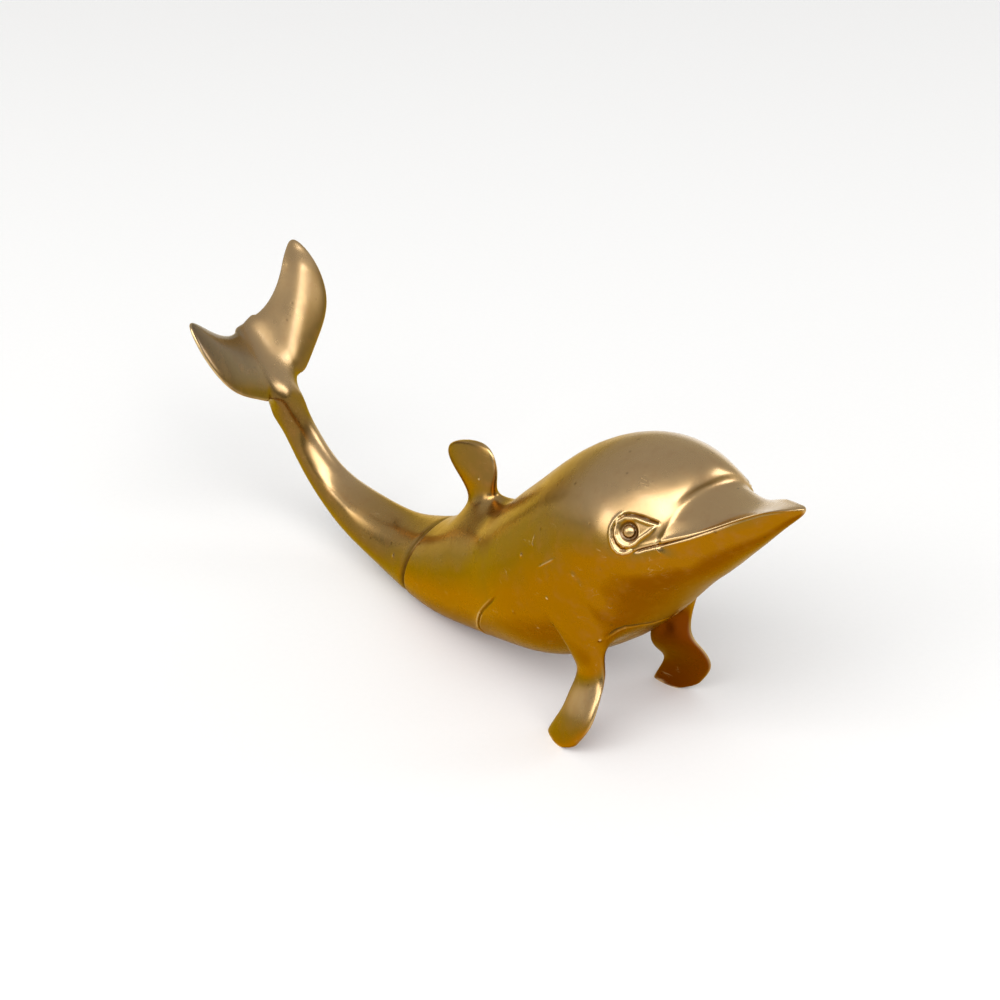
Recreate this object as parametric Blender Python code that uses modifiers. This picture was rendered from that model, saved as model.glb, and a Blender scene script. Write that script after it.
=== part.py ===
"""A cast dolphin figurine that stands on its belly and on the tips of its two flippers.

The whole figure is one casting. Its form is a coarse cage of eight-sided rings, drawn out from
the tip of the beak to the fluke, with the dorsal fin, the flippers and the two lobes of the fluke
drawn out of its sides. A subdivision surface rounds the cage. The mouth, the eyes' sockets and
balls, the brazed seam and the flat spots that it stands on are then cut or added.

Metres, +Z up. +X points to the head and +Y to the figure's left. The origin lies on the floor,
in the flat spot under the belly.
"""

import bpy
import bmesh
from math import cos, pi, radians, sin
from mathutils import Matrix, Vector
from mathutils.bvhtree import BVHTree

# Body radii, from the tail stock to the nape
STOCK_RADIUS = 0.0040
SEAM_RADIUS = 0.0079
BELLY_RADIUS = 0.0095
GIRTH_RADIUS = 0.0159
NAPE_RADIUS = 0.0158
BELLY_FLAT_DEPTH = 0.0008

# Body rings: place along X, place along Y, height of the keel over the floor, radius
BODY_RINGS = (
    (-0.0421, -0.0073, 0.0250, STOCK_RADIUS),
    (-0.0417, -0.0052, 0.0204, 0.0031),
    (-0.0369, -0.0041, 0.0130, 0.0034),
    (-0.0329, -0.0026, 0.0080, 0.0040),
    (-0.0262, -0.0021, 0.0045, 0.0051),
    (-0.0157, -0.0006, 0.0010, 0.0061),
    (-0.0083, 0.0002, -BELLY_FLAT_DEPTH, SEAM_RADIUS),
    (0.0005, 0.0, -BELLY_FLAT_DEPTH, BELLY_RADIUS),
    (0.0080, 0.0, 0.0008, 0.0109),
    (0.0225, 0.0, 0.0042, 0.0130),
    (0.0310, 0.0, 0.0062, 0.0156),
    (0.0405, 0.0, 0.0142, GIRTH_RADIUS),
    (0.0495, 0.0, 0.0239, NAPE_RADIUS),
)
SEAM_RING = 6
FIN_RING = 8
FLIPPER_RING = 11

# Head rings: back (x, z), side (x, half width, z), keel (x, z), fullness of the upper shoulder
HEAD_RINGS = (
    ((0.0499, 0.0579), (0.0578, 0.0161, 0.0450), (0.0662, 0.0351), 0.677),
    ((0.0616, 0.0587), (0.0627, 0.0127, 0.0452), (0.0697, 0.0387), 0.645),
    ((0.0657, 0.0558), (0.0650, 0.0115, 0.0465), (0.0722, 0.0415), 0.667),
    ((0.0662, 0.0532), (0.0659, 0.0100, 0.0469), (0.0742, 0.0439), 0.760),
    ((0.0747, 0.0528), (0.0734, 0.0066, 0.0520), (0.0784, 0.0487), 0.581),
    ((0.0808, 0.0569), (0.0792, 0.0029, 0.0564), (0.0824, 0.0536), 0.658),
    ((0.0864, 0.0591), (0.0861, 0.0007, 0.0586), (0.0864, 0.0579), 0.707),
)
FOLD_RING = 3
JAW_FULLNESS = 0.664
LIP_CREASE = 0.55
BROW_CREASE = 0.85

# Dorsal fin: leading point (x, z), trailing point (x, z) and share of the thickness
FIN_THICKNESS = 0.0030
FIN_SECTIONS = (
    ((0.0132, 0.0288), (0.0036, 0.0227), 1.70),
    ((0.0131, 0.0319), (0.0054, 0.0256), 1.00),
    ((0.0142, 0.0350), (0.0020, 0.0284), 0.90),
    ((0.0130, 0.0386), (-0.0024, 0.0311), 0.85),
    ((0.0094, 0.0392), (-0.0018, 0.0351), 0.60),
)

# Flippers: middle (x, y, z), chord, thickness and tilt of the chord in degrees
FLIPPER_SECTIONS = (
    ((0.0489, 0.0107, 0.0194), 0.0105, 0.0044, 35.2),
    ((0.0491, 0.0086, 0.0139), 0.0102, 0.0029, 21.2),
    ((0.0496, 0.0112, 0.0103), 0.0127, 0.0025, 21.4),
    ((0.0506, 0.0136, 0.0070), 0.0114, 0.0023, 7.8),
    ((0.0467, 0.0137, 0.0012), 0.0140, 0.0023, 20.0),
    ((0.0469, 0.0138, -0.0006), 0.0112, 0.0023, 24.2),
)
FLIPPER_TOE_OUT = 12.1

# Fluke: turned sideways and up at the end of the stock, with lobes that rise like a wide V
FLUKE_YAW = 28.9
FLUKE_PITCH = 58.4
FLUKE_CHORD = 0.0182
FLUKE_HALF_SPAN = 0.0211
FLUKE_RISE = 0.0062
FLUKE_RISE_POWER = 0.86
FLUKE_THICKNESS = 0.0024
# Fluke rings on its middle line: share of the chord, half width, half thickness
FLUKE_RINGS = (
    (0.1900, 0.0065, 0.0025),
    (1.0000, 0.0040, 0.0012),
)
# Lobe sections: leading and trailing point as shares of the chord and half span, thickness share
FLUKE_SECTIONS = (
    ((0.07, 0.34), (1.04, 0.16), 1.20),
    ((0.26, 0.63), (1.05, 0.38), 1.00),
    ((0.52, 1.07), (1.18, 0.62), 0.90),
    ((1.04, 1.17), (1.33, 0.81), 0.70),
    ((1.42, 1.06), (1.38, 0.93), 0.35),
)

# Eyes: a ball sunk into a drop-shaped socket, whose corner points at the tip of the beak
EYE_PLACE = (0.0608, 0.0130, 0.0482)
EYE_BALL_RADIUS = 0.0012
EYE_BALL_SINK = 0.0004
SOCKET_RADIUS = 0.0017
SOCKET_REACH = 0.0026
SOCKET_STEPS = 12

# Mouth line under the lip, through the side points of these head rings
MOUTH_RINGS = (1, 3, 4, 5)
MOUTH_DROP = 0.0003
MOUTH_STEPS = 2

# Brazed seam: its share of the way to the next body ring, and its forward lean in degrees
SEAM_SHARE = 0.44
SEAM_LEAN = 17
SEAM_STEPS = 32
GROOVE_RADIUS = 0.00035

LEADING_SHARE = 0.22
TRAILING_SHARE = 0.74
RING_SIDES = 8
RING_SHARE = (2 + cos(2 * pi / RING_SIDES)) / 3
SUBDIVISIONS = 2
FLOOR_SIZE = 0.3


def clear_scene():
    """Remove whatever the scene holds."""
    for thing in list(bpy.data.objects):
        bpy.data.objects.remove(thing, do_unlink=True)


def new_collection(name):
    """A collection in the scene."""
    collection = bpy.data.collections.new(name)
    bpy.context.scene.collection.children.link(collection)
    return collection


def brass():
    """Satin brass."""
    material = bpy.data.materials.new("brass")
    material.use_nodes = True
    shader = material.node_tree.nodes["Principled BSDF"]
    shader.inputs["Base Color"].default_value = (0.60, 0.38, 0.10, 1)
    shader.inputs["Metallic"].default_value = 1.0
    shader.inputs["Roughness"].default_value = 0.32
    return material


def ring_place(centre, up, side, rise, width, step):
    """A point of a ring. Steps count from the figure's left over its back."""
    angle = 2 * pi * step / RING_SIDES
    return centre + side * (width * cos(angle)) + up * (rise * sin(angle))


def body_centres():
    """The middles of the body's rings."""
    return [Vector((x, y, keel + radius)) for x, y, keel, radius in BODY_RINGS]


def body_frame(number):
    """The forward, left and upward directions of a ring of the body."""
    centres = body_centres()
    before = centres[max(number - 1, 0)]
    after = centres[min(number + 1, len(centres) - 1)]
    forward = (after - before).normalized()
    left = Vector((0, 0, 1)).cross(forward).normalized()
    return forward, left, forward.cross(left)


def body_places():
    """The cage's rings from the tail stock to the nape, as lists of eight points."""
    places = []
    for number, centre in enumerate(body_centres()):
        forward, left, up = body_frame(number)
        radius = BODY_RINGS[number][3] / RING_SHARE
        places.append([ring_place(centre, up, left, radius, radius, step)
                       for step in range(RING_SIDES)])
    return places


def head_places():
    """The cage's rings from the nape to the tip of the beak."""
    places = []
    for back, side, keel, fullness in HEAD_RINGS:
        middle = Vector((side[0], 0, side[2]))
        out = Vector((0, side[1], 0)) / RING_SHARE
        rise = (Vector((back[0], 0, back[1])) - middle) / RING_SHARE
        drop = (Vector((keel[0], 0, keel[1])) - middle) / RING_SHARE
        places.append([
            middle + out,
            middle + (rise + out) * fullness,
            middle + rise,
            middle + (rise - out) * fullness,
            middle - out,
            middle + (drop - out) * JAW_FULLNESS,
            middle + drop,
            middle + (drop + out) * JAW_FULLNESS,
        ])
    return places


def fluke_frame():
    """The fluke's own directions: along its middle line, to its left lobe, out of its back."""
    yaw = radians(FLUKE_YAW)
    pitch = radians(FLUKE_PITCH)
    along = Vector((-cos(pitch) * cos(yaw), -cos(pitch) * sin(yaw), sin(pitch)))
    left = Vector((-sin(yaw), cos(yaw), 0))
    return along, left, left.cross(along).normalized()


def fluke_rise(span_share):
    """How far the lobes have risen over the middle line at a share of the half span."""
    return FLUKE_RISE * abs(span_share) ** FLUKE_RISE_POWER


def fluke_places():
    """The flat rings along the fluke's middle line."""
    along, left, out = fluke_frame()
    root = body_centres()[0]
    places = []
    for share, width, rise in FLUKE_RINGS:
        centre = root + along * (FLUKE_CHORD * share)
        ring = [ring_place(centre, out, left, rise / RING_SHARE, width / RING_SHARE, step)
                for step in range(RING_SIDES)]
        places.append([place + out * fluke_rise((place - centre).dot(left) / FLUKE_HALF_SPAN)
                       for place in ring])
    return places


def draw_out(bm, faces, corners, places, closed=True):
    """Extrude faces and move each new corner to its place. corners and places share keys."""
    grown = bmesh.ops.extrude_face_region(bm, geom=faces)["geom"]
    if closed:
        bmesh.ops.delete(bm, geom=faces, context="FACES")
    fresh = [item for item in grown if isinstance(item, bmesh.types.BMVert)]
    moved = {key: min(fresh, key=lambda item: (item.co - vert.co).length)
             for key, vert in corners.items()}
    for key, vert in moved.items():
        vert.co = places[key]
    return [item for item in grown if isinstance(item, bmesh.types.BMFace)], moved


def draw_body(bm):
    """The closed body, drawn out of the beak's tip ring by ring. Returns the rings' corners."""
    places = list(reversed(head_places())) + list(reversed(body_places())) + fluke_places()
    disc = bmesh.ops.create_circle(bm, cap_ends=True, segments=RING_SIDES, radius=1)["verts"]
    corners = dict(enumerate(disc))
    for step, vert in corners.items():
        vert.co = places[0][step]
    faces = list(disc[0].link_faces)
    rings = [corners]
    for number, ring in enumerate(places[1:]):
        faces, corners = draw_out(bm, faces, corners, dict(enumerate(ring)), closed=number > 0)
        rings.append(corners)
    return rings


def body_ring(rings, number):
    """The corners of one of the body's rings, counted from the tail stock."""
    return rings[len(HEAD_RINGS) + len(BODY_RINGS) - 1 - number]


def side_patch(lead, trail, middle, upper, lower):
    """Two neighbouring faces between two rings, with their corners by name."""
    corners = {}
    for end, ring in (("lead", lead), ("trail", trail)):
        corners[end, "middle"] = ring[middle]
        corners[end, "upper"] = ring[upper]
        corners[end, "lower"] = ring[lower]
    members = set(corners.values())
    faces = [face for face in lead[middle].link_faces if set(face.verts) <= members]
    return faces, corners


def section(leading, trailing, thickness):
    """A leaf-shaped section: two edges and two points on each face. thickness is a vector."""
    places = {("lead", "middle"): leading, ("trail", "middle"): trailing}
    for end, share in (("lead", LEADING_SHARE), ("trail", TRAILING_SHARE)):
        point = leading.lerp(trailing, share)
        places[end, "upper"] = point + thickness / 2
        places[end, "lower"] = point - thickness / 2
    return places


def draw_fin(bm, rings):
    """The dorsal fin."""
    faces, corners = side_patch(body_ring(rings, FIN_RING + 1), body_ring(rings, FIN_RING), 2, 1, 3)
    for lead, trail, share in FIN_SECTIONS:
        thickness = Vector((0, FIN_THICKNESS * share, 0))
        places = section(Vector((lead[0], 0, lead[1])), Vector((trail[0], 0, trail[1])), thickness)
        faces, corners = draw_out(bm, faces, corners, places)


def draw_flipper(bm, rings, side):
    """A flipper: side is 1 on the left and -1 on the right."""
    middle, outer = (7, 0) if side > 0 else (5, 4)
    faces, corners = side_patch(body_ring(rings, FLIPPER_RING + 1), body_ring(rings, FLIPPER_RING),
                                middle, outer, 6)
    toe = radians(FLIPPER_TOE_OUT)
    for (x, y, z), chord, thickness, tilt in FLIPPER_SECTIONS:
        lean = radians(tilt)
        along = Vector((cos(lean) * cos(toe), side * cos(lean) * sin(toe), sin(lean)))
        out = Vector((0, side, 0))
        out = (out - along * out.dot(along)).normalized()
        centre = Vector((x, side * y, z))
        places = section(centre + along * chord / 2, centre - along * chord / 2, out * thickness)
        faces, corners = draw_out(bm, faces, corners, places)


def fluke_place(chord_share, span_share, side):
    """A point of a lobe's middle surface."""
    along, left, out = fluke_frame()
    return (body_centres()[0] + along * (FLUKE_CHORD * chord_share)
            + left * (side * FLUKE_HALF_SPAN * span_share) + out * fluke_rise(span_share))


def draw_lobe(bm, rings, side):
    """A lobe of the fluke: side is 1 on the left and -1 on the right."""
    middle, upper, lower = (0, 1, 7) if side > 0 else (4, 3, 5)
    faces, corners = side_patch(rings[-2], rings[-1], middle, upper, lower)
    out = fluke_frame()[2]
    for lead, trail, share in FLUKE_SECTIONS:
        places = section(fluke_place(*lead, side), fluke_place(*trail, side),
                         out * (FLUKE_THICKNESS * share))
        faces, corners = draw_out(bm, faces, corners, places)


def crease(bm, rings):
    """Sharpen the lips and the fold between the melon and the beak."""
    layer = bm.edges.layers.float.new("crease_edge")
    beak = rings[:len(HEAD_RINGS) - FOLD_RING + 1]
    for step in (0, 4):
        for front, behind in zip(beak, beak[1:]):
            edge = bm.edges.get((front[step], behind[step]))
            edge[layer] = LIP_CREASE
    fold = rings[len(HEAD_RINGS) - 1 - FOLD_RING]
    for step in (0, 1, 2, 3):
        bm.edges.get((fold[step], fold[step + 1]))[layer] = BROW_CREASE


def cage_object(collection):
    """The cage, with its subdivision surface."""
    bm = bmesh.new()
    rings = draw_body(bm)
    draw_fin(bm, rings)
    for side in (1, -1):
        draw_flipper(bm, rings, side)
        draw_lobe(bm, rings, side)
    crease(bm, rings)
    bmesh.ops.recalc_face_normals(bm, faces=bm.faces)
    mesh = bpy.data.meshes.new("dolphin")
    bm.to_mesh(mesh)
    bm.free()
    figure = bpy.data.objects.new("dolphin", mesh)
    collection.objects.link(figure)
    rounding = figure.modifiers.new("rounding", "SUBSURF")
    rounding.levels = SUBDIVISIONS
    rounding.render_levels = SUBDIVISIONS
    return figure


def as_cutter(thing):
    """Mark an object as a guide that is not part of the figure."""
    thing.hide_render = True
    thing.display_type = "WIRE"
    return thing


def mesh_object(name, bm, collection):
    """A new object from a bmesh."""
    mesh = bpy.data.meshes.new(name)
    bm.to_mesh(mesh)
    bm.free()
    thing = bpy.data.objects.new(name, mesh)
    collection.objects.link(thing)
    return thing


def boolean(figure, tool, operation):
    """Cut the figure with a tool, or join the tool to it."""
    step = figure.modifiers.new(tool.name, "BOOLEAN")
    step.operation = operation
    step.object = tool
    step.solver = "EXACT"


def floor_cutter(collection):
    """The block under the floor, which leaves the flat spots."""
    bm = bmesh.new()
    bmesh.ops.create_cube(bm, size=FLOOR_SIZE, matrix=Matrix.Translation((0, 0, -FLOOR_SIZE / 2)))
    return as_cutter(mesh_object("floor_cutter", bm, collection))


def surface(figure):
    """The figure's rounded surface as it stands now, to find points on it."""
    graph = bpy.context.evaluated_depsgraph_get()
    return BVHTree.FromObject(figure, graph)


def groove(name, points, radius, closed, collection):
    """A round tool along a line of points, as a closed mesh."""
    curve = bpy.data.curves.new(name, "CURVE")
    curve.dimensions = "3D"
    curve.bevel_depth = radius
    curve.bevel_resolution = 0
    curve.use_fill_caps = not closed
    line = curve.splines.new("POLY")
    line.points.add(len(points) - 1)
    for corner, point in zip(line.points, points):
        corner.co = (*point, 1)
    line.use_cyclic_u = closed
    path = bpy.data.objects.new(name, curve)
    collection.objects.link(path)
    graph = bpy.context.evaluated_depsgraph_get()
    mesh = bpy.data.meshes.new_from_object(path.evaluated_get(graph))
    bpy.data.objects.remove(path, do_unlink=True)
    bm = bmesh.new()
    bm.from_mesh(mesh)
    bmesh.ops.remove_doubles(bm, verts=bm.verts, dist=0.00001)
    bmesh.ops.recalc_face_normals(bm, faces=bm.faces)
    return as_cutter(mesh_object(name, bm, collection))


def seam_cutter(tree, collection):
    """The groove of the brazed seam, in a leaning plane round the body."""
    centre = body_centres()[SEAM_RING].lerp(body_centres()[SEAM_RING + 1], SEAM_SHARE)
    forward, left, up = body_frame(SEAM_RING)
    lean = radians(SEAM_LEAN)
    across = Vector((cos(lean), 0, -sin(lean)))
    points = []
    for step in range(SEAM_STEPS):
        angle = 2 * pi * step / SEAM_STEPS
        way = left * cos(angle) + up * sin(angle)
        way -= forward * (way.dot(across) / forward.dot(across))
        points.append(tree.ray_cast(centre, way)[0])
    return groove("seam_cutter", points, GROOVE_RADIUS, True, collection)


def mouth_cutter(tree, side, collection):
    """The line of the mouth, just under the lip, from its corner to near the tip."""
    lip = []
    for number in MOUTH_RINGS:
        x, width, z = HEAD_RINGS[number][1]
        lip.append(Vector((x, side * width, z - MOUTH_DROP)))
    points = []
    for start, end in zip(lip, lip[1:]):
        for step in range(MOUTH_STEPS):
            points.append(tree.find_nearest(start.lerp(end, step / MOUTH_STEPS))[0])
    points.append(tree.find_nearest(lip[-1])[0])
    name = "left_mouth_cutter" if side > 0 else "right_mouth_cutter"
    return groove(name, points, GROOVE_RADIUS, False, collection)


def eye_tools(tree, side, collection):
    """The socket round an eye, and the ball in it."""
    x, y, z = EYE_PLACE
    place, facing, _, _ = tree.find_nearest(Vector((x, side * y, z)))
    tip = HEAD_RINGS[-1][1]
    ahead = Vector((tip[0], 0, tip[2])) - place
    ahead = (ahead - facing * ahead.dot(facing)).normalized()
    over = facing.cross(ahead)
    points = []
    for step in range(SOCKET_STEPS):
        angle = 2 * pi * step / SOCKET_STEPS
        reach = SOCKET_REACH * max(cos(angle), 0) ** 3
        offset = ahead * (SOCKET_RADIUS * cos(angle) + reach) + over * (SOCKET_RADIUS * sin(angle))
        points.append(tree.find_nearest(place + offset)[0])
    name = "left" if side > 0 else "right"
    socket = groove(name + "_socket_cutter", points, GROOVE_RADIUS, True, collection)
    bm = bmesh.new()
    bmesh.ops.create_uvsphere(bm, u_segments=10, v_segments=6, radius=EYE_BALL_RADIUS,
                              matrix=Matrix.Translation(place - facing * EYE_BALL_SINK))
    ball = as_cutter(mesh_object(name + "_eye_ball", bm, collection))
    return socket, ball


def main():
    """Build the figure."""
    clear_scene()
    parts = new_collection("dolphin")
    tools = new_collection("cutters")
    figure = cage_object(parts)
    figure.data.materials.append(brass())
    bpy.context.view_layer.update()
    tree = surface(figure)
    boolean(figure, floor_cutter(tools), "DIFFERENCE")
    boolean(figure, seam_cutter(tree, tools), "DIFFERENCE")
    for side in (1, -1):
        boolean(figure, mouth_cutter(tree, side, tools), "DIFFERENCE")
        socket, ball = eye_tools(tree, side, tools)
        boolean(figure, socket, "DIFFERENCE")
        boolean(figure, ball, "UNION")
    figure.data.shade_smooth()


main()
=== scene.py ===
"""A cast brass dolphin figurine on a plain pale floor."""

import bmesh
import bpy
import numpy as np
from math import cos, pi, radians, sin
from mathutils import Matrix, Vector
from mathutils.bvhtree import BVHTree


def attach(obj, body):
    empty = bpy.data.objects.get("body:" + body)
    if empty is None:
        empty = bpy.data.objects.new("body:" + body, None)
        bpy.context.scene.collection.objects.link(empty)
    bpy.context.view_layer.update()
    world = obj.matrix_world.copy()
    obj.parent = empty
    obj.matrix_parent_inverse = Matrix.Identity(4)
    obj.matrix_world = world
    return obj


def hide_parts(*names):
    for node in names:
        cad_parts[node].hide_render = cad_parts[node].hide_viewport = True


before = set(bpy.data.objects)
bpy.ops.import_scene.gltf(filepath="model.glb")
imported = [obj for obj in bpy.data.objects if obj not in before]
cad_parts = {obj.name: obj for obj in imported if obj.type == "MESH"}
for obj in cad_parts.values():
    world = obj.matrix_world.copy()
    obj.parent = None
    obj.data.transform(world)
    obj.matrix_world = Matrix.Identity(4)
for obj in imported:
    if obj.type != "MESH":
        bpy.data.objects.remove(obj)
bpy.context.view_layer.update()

bl_info = {
    "name": "Dolphin figurine",
    "version": (1, 0, 0),
    "blender": (4, 5, 0),
    "location": "3D View > Sidebar > Dolphin",
    "description": "Models a cast brass dolphin figurine, its aged finish and its stage",
    "category": "Object",
}

# The cage of the casting, in metres. +X is towards the beak, +Y to the figure's left.
# Body rings from the tail stock to the nape: x, y, height of the keel over the floor, radius
BODY_RINGS = (
    (-0.0421, -0.0073, 0.0250, 0.0040),
    (-0.0417, -0.0052, 0.0204, 0.0031),
    (-0.0369, -0.0041, 0.0130, 0.0034),
    (-0.0329, -0.0026, 0.0080, 0.0040),
    (-0.0262, -0.0021, 0.0045, 0.0051),
    (-0.0157, -0.0006, 0.0010, 0.0061),
    (-0.0083, 0.0002, -0.0008, 0.0079),
    (0.0005, 0.0, -0.0008, 0.0095),
    (0.0080, 0.0, 0.0008, 0.0109),
    (0.0225, 0.0, 0.0042, 0.0130),
    (0.0310, 0.0, 0.0062, 0.0156),
    (0.0405, 0.0, 0.0142, 0.0159),
    (0.0495, 0.0, 0.0239, 0.0158),
)
SEAM_RING = 6
FIN_RING = 8
FLIPPER_RING = 11

# Head rings: back (x, z), side (x, half width, z), keel (x, z), fullness of the upper shoulder
HEAD_RINGS = (
    ((0.0499, 0.0579), (0.0578, 0.0161, 0.0450), (0.0662, 0.0351), 0.677),
    ((0.0616, 0.0587), (0.0627, 0.0127, 0.0452), (0.0697, 0.0387), 0.645),
    ((0.0657, 0.0558), (0.0650, 0.0115, 0.0465), (0.0722, 0.0415), 0.667),
    ((0.0662, 0.0532), (0.0659, 0.0100, 0.0469), (0.0742, 0.0439), 0.760),
    ((0.0747, 0.0528), (0.0734, 0.0066, 0.0520), (0.0784, 0.0487), 0.581),
    ((0.0808, 0.0569), (0.0792, 0.0029, 0.0564), (0.0824, 0.0536), 0.658),
    ((0.0864, 0.0591), (0.0861, 0.0007, 0.0586), (0.0864, 0.0579), 0.707),
)
FOLD_RING = 3
JAW_FULLNESS = 0.664
TIP_RADIUS = 0.001

# Dorsal fin: leading point (x, z), trailing point (x, z) and share of the thickness
FIN_SECTIONS = (
    ((0.0132, 0.0288), (0.0036, 0.0227), 1.70),
    ((0.0131, 0.0319), (0.0054, 0.0256), 1.00),
    ((0.0142, 0.0350), (0.0020, 0.0284), 0.90),
    ((0.0130, 0.0386), (-0.0024, 0.0311), 0.85),
    ((0.0094, 0.0392), (-0.0018, 0.0351), 0.60),
)

# Flippers: middle (x, y, z), chord, thickness and tilt of the chord in degrees
FLIPPER_SECTIONS = (
    ((0.0489, 0.0107, 0.0194), 0.0105, 0.0044, 35.2),
    ((0.0491, 0.0086, 0.0139), 0.0102, 0.0029, 21.2),
    ((0.0496, 0.0112, 0.0103), 0.0127, 0.0025, 21.4),
    ((0.0506, 0.0136, 0.0070), 0.0114, 0.0023, 7.8),
    ((0.0467, 0.0137, 0.0012), 0.0140, 0.0023, 20.0),
    ((0.0469, 0.0138, -0.0006), 0.0112, 0.0023, 24.2),
)

# Fluke rings on its middle line: share of the chord, half width, half thickness
FLUKE_RINGS = (
    (0.1900, 0.0065, 0.0025),
    (1.0000, 0.0040, 0.0012),
)
# Lobe sections: leading and trailing point as shares of the chord and half span, thickness share
FLUKE_SECTIONS = (
    ((0.07, 0.34), (1.04, 0.16), 1.20),
    ((0.26, 0.63), (1.05, 0.38), 1.00),
    ((0.52, 1.07), (1.18, 0.62), 0.90),
    ((1.04, 1.17), (1.33, 0.81), 0.70),
    ((1.42, 1.06), (1.38, 0.93), 0.35),
)
FLUKE_RISE_POWER = 0.86
LEADING_SHARE = 0.22
TRAILING_SHARE = 0.74
RING_SIDES = 8
RING_SHARE = (2 + cos(2 * pi / RING_SIDES)) / 3

# Levels of rounding: of the casting, and of the finer surface that new corners are laid on
BASE_LEVEL = 3
FINE_LEVEL = 5
# Reaches round the carving in which the faces are divided, one after another
DIVIDED_REACHES = (0.0020, 0.0012, 0.0008, 0.0006, 0.0005)
# What is lower than this is part of a flat spot
FLAT_HEIGHT = 0.00002
# A cut as close as this to a corner goes through it
CUT_CLOSENESS = 0.000001
SMOOTH_ANGLE = 50

# Carving on the figure's right side, mirrored to its left. Lines are points on the surface.
MOUTH_LINE = (
    (0.0621, -0.0135, 0.0449), (0.0637, -0.0125, 0.0460), (0.0653, -0.0115, 0.0469),
    (0.0671, -0.0103, 0.0479), (0.0700, -0.0089, 0.0496), (0.0720, -0.0079, 0.0509),
    (0.0739, -0.0068, 0.0521), (0.0757, -0.0057, 0.0534), (0.0775, -0.0045, 0.0546),
    (0.0801, -0.0031, 0.0562), (0.0825, -0.0019, 0.0573), (0.0843, -0.0011, 0.0580),
)
THROAT_LINE = (
    (0.0539, -0.0105, 0.0233), (0.0546, -0.0103, 0.0245), (0.0556, -0.0097, 0.0257),
    (0.0565, -0.0087, 0.0264), (0.0575, -0.0062, 0.0262), (0.0579, -0.0037, 0.0258),
    (0.0585, -0.0015, 0.0260), (0.0587, 0.0, 0.0261),
)
FLANK_LINE = (
    (0.0326, -0.0155, 0.0245), (0.0291, -0.0148, 0.0205), (0.0260, -0.0138, 0.0171),
    (0.0237, -0.0128, 0.0144), (0.0217, -0.0115, 0.0114), (0.0201, -0.0100, 0.0087),
    (0.0196, -0.0070, 0.0055), (0.0194, -0.0030, 0.0042),
)
SHOULDER_LINE = (
    (0.0504, -0.0157, 0.0364), (0.0524, -0.0152, 0.0351), (0.0538, -0.0143, 0.0330),
    (0.0549, -0.0129, 0.0302), (0.0552, -0.0118, 0.0280),
)
# Ridge along the tail and the left lobe, only on the side that faces this way
TAIL_LINE = (
    (-0.0576, 0.0082, 0.0520), (-0.0522, 0.0030, 0.0450), (-0.0463, -0.0026, 0.0379),
    (-0.0416, -0.0078, 0.0344), (-0.0384, -0.0100, 0.0311), (-0.0379, -0.0073, 0.0212),
    (-0.0346, -0.0068, 0.0166), (-0.0301, -0.0059, 0.0140), (-0.0213, -0.0062, 0.0112),
)
TAIL_FACING = (0.72, -0.48, 0.50)
# Valley at the root of the right lobe
ROOT_LINE = ((-0.0384, -0.0104, 0.0322), (-0.0383, -0.0088, 0.0288), (-0.0380, -0.0073, 0.0254))
# Fold between the melon and the beak on the right side
FOLD_LINE = (
    (0.0648, -0.0101, 0.0505), (0.0660, -0.0070, 0.0522), (0.0661, -0.0041, 0.0532),
    (0.0662, -0.0017, 0.0535), (0.0666, 0.0, 0.0534),
)
MOUTH_CORNER = ((0.0653, -0.0114, 0.0461), (0.0657, -0.0112, 0.0463))
# Places to smooth: line, reach, passes and sides, 1 for the left and -1 for the right
SMOOTH_PLACES = (
    (ROOT_LINE, 0.0045, 40, (-1,)),
    (FOLD_LINE, 0.0013, 14, (1, -1)),
    (MOUTH_CORNER, 0.0013, 30, (1, -1)),
)
# Small lumps left by the mould on the right side: place and radius
LUMPS = (
    ((0.0511, -0.0156, 0.0366), 0.00060), ((0.0447, -0.0156, 0.0291), 0.00035),
    ((0.0356, -0.0152, 0.0220), 0.00035), ((0.0374, -0.0151, 0.0339), 0.00030),
    ((-0.0089, -0.0073, 0.0095), 0.00045), ((0.0096, -0.0013, 0.0318), 0.00030),
    ((0.0202, -0.0098, 0.0271), 0.00035), ((0.0535, -0.0115, 0.0235), 0.00040),
)
SCRATCH_LINES = (
    ((0.0402, -0.0145, 0.0391), (0.0400, -0.0149, 0.0374), (0.0406, -0.0152, 0.0368)),
    ((0.0421, -0.0158, 0.0338), (0.0451, -0.0158, 0.0364), (0.0471, -0.0158, 0.0381)),
)
# Seam between the tail and the body: a point of its plane, the plane's lean in degrees, reach
SEAM_PLACE = (-0.0044, 0.0001, 0.0079)
SEAM_LEAN = 17
SEAM_REACH = 0.015
# The seam's groove: depth, width, how much wider it is below, and the heights between
SEAM_GROOVE = (0.00034, 0.00022, 0.00016, 0.0145, 0.0105)
# The shallow dip behind the seam: depth, distance and width
SEAM_DIP = (0.00016, 0.0007, 0.0006)
# Strokes along the tail: line, height and width
TAIL_STROKES = ((TAIL_LINE[:5], 0.00055, 0.0038), (TAIL_LINE[3:], 0.00030, 0.0014))
# Strokes on both sides: line, its shift on the right side, height, width and fade at the ends
SIDE_STROKES = (
    (MOUTH_LINE, (0, 0.0002, 0.0006), 0.00012, 0.00040, 0.12),
    (THROAT_LINE, (0, 0, 0), -0.00030, 0.00040, 0.20),
    (FLANK_LINE, (0, 0, 0), -0.00022, 0.00022, 0.20),
    (FLANK_LINE, (-0.0006, 0, 0), 0.00014, 0.00045, 0.30),
    (SHOULDER_LINE, (0, 0, 0), 0.00045, 0.00110, 0.40),
)
LUMP_HEIGHT = 0.00016
# The scratches' height, width and fade at the ends
SCRATCH_STROKE = (0.00010, 0.00018, 0.3)

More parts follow.
